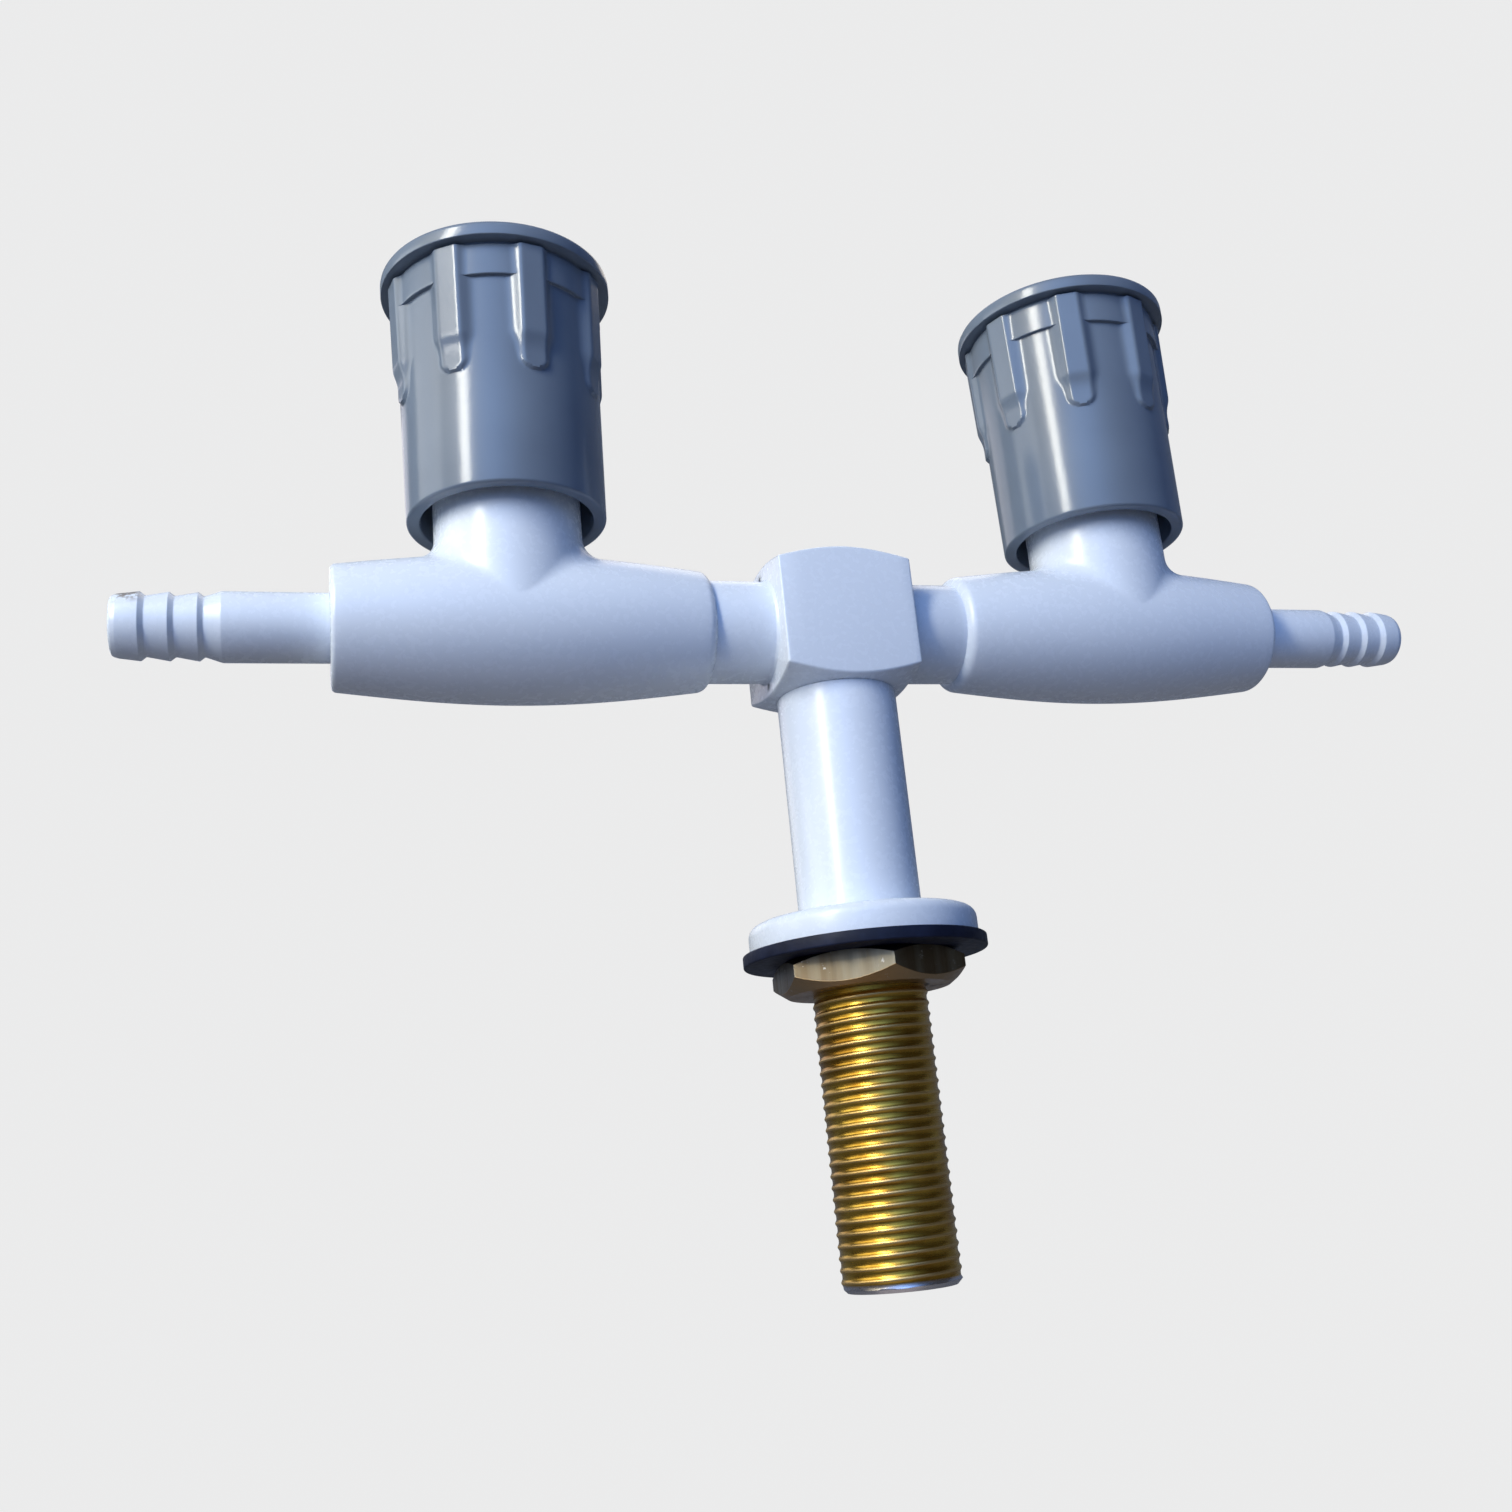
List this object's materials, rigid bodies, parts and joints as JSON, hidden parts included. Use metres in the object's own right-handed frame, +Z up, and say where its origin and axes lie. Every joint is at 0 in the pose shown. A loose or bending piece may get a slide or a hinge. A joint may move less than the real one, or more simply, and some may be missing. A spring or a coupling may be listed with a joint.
{
  "type": "two-way gas tap",
  "caption": "Bench gas tap: a coated pillar with a square tee block, a screw-down valve with a ribbed knob on each side, barbed hose nozzles and a threaded brass tail.",
  "frame": {"origin": "point on the pillar's axis at the top of the bench, which is the underside of the rubber washer", "axes": "+X along the arms towards the right-hand nozzle, +Y away from the viewer, +Z up along the pillar"},
  "size_m": [0.1966, 0.034, 0.1465],
  "materials": {
    "white_coat": "smooth cool-white powder coat over brass",
    "tail_brass": "thread-rolled raw brass",
    "turned_brass": "turned and milled brass",
    "black_rubber": "matt",
    "red_fibre": "pressed vulcanised fibre",
    "knob_plastic": "moulded grey plastic, satin",
    "screw_steel": "zinc plated"
  },
  "bodies": {
    "fixed_body": {"tail": "tail_brass", "bench_washer": "black_rubber", "base_flange": "white_coat", "pillar": "white_coat", "tee_block": "white_coat", "left_arm": "white_coat", "left_valve_body": "white_coat", "left_bonnet_seal": "red_fibre", "left_bonnet": "turned_brass", "left_gland_nut": "turned_brass", "left_spindle_seal": "black_rubber", "left_nozzle_seal": "red_fibre", "left_hose_nozzle": "white_coat", "right_arm": "white_coat", "right_valve_body": "white_coat", "right_bonnet_seal": "red_fibre", "right_bonnet": "turned_brass", "right_gland_nut": "turned_brass", "right_spindle_seal": "black_rubber", "right_nozzle_seal": "red_fibre", "right_hose_nozzle": "white_coat"},
    "back_nut": {"back_nut": "turned_brass"},
    "left_knob": {"left_spindle": "turned_brass", "left_knob": "knob_plastic", "left_knob_screw": "screw_steel", "left_knob_cap": "knob_plastic"},
    "left_jumper": {"left_jumper": "turned_brass", "left_seat_washer": "black_rubber"},
    "right_knob": {"right_spindle": "turned_brass", "right_knob": "knob_plastic", "right_knob_screw": "screw_steel", "right_knob_cap": "knob_plastic"},
    "right_jumper": {"right_jumper": "turned_brass", "right_seat_washer": "black_rubber"}
  },
  "joints": [
    {"name": "left_knob_turn", "type": "hinge", "parent": "fixed_body", "child": "left_knob", "pos_m": [-0.0465, 0, 0.0484], "axis": [0, 0, 1], "range_deg": [0, 540]},
    {"name": "left_jumper_lift", "type": "slide", "parent": "fixed_body", "child": "left_jumper", "axis": [0, 0, 1], "range_m": [0, 0.00263]},
    {"name": "right_knob_turn", "type": "hinge", "parent": "fixed_body", "child": "right_knob", "pos_m": [0.0465, 0, 0.0484], "axis": [0, 0, 1], "range_deg": [0, 540]},
    {"name": "right_jumper_lift", "type": "slide", "parent": "fixed_body", "child": "right_jumper", "axis": [0, 0, 1], "range_m": [0, 0.00263]},
    {"name": "back_nut_travel", "type": "slide", "parent": "fixed_body", "child": "back_nut", "axis": [0, 0, 1], "range_m": [-0.036, 0]}
  ],
  "couplings": [
    {"joint": "left_jumper_lift", "follows": "left_knob_turn", "m_per_rad": 0.00027852},
    {"joint": "right_jumper_lift", "follows": "right_knob_turn", "m_per_rad": 0.00027852}
  ]
}
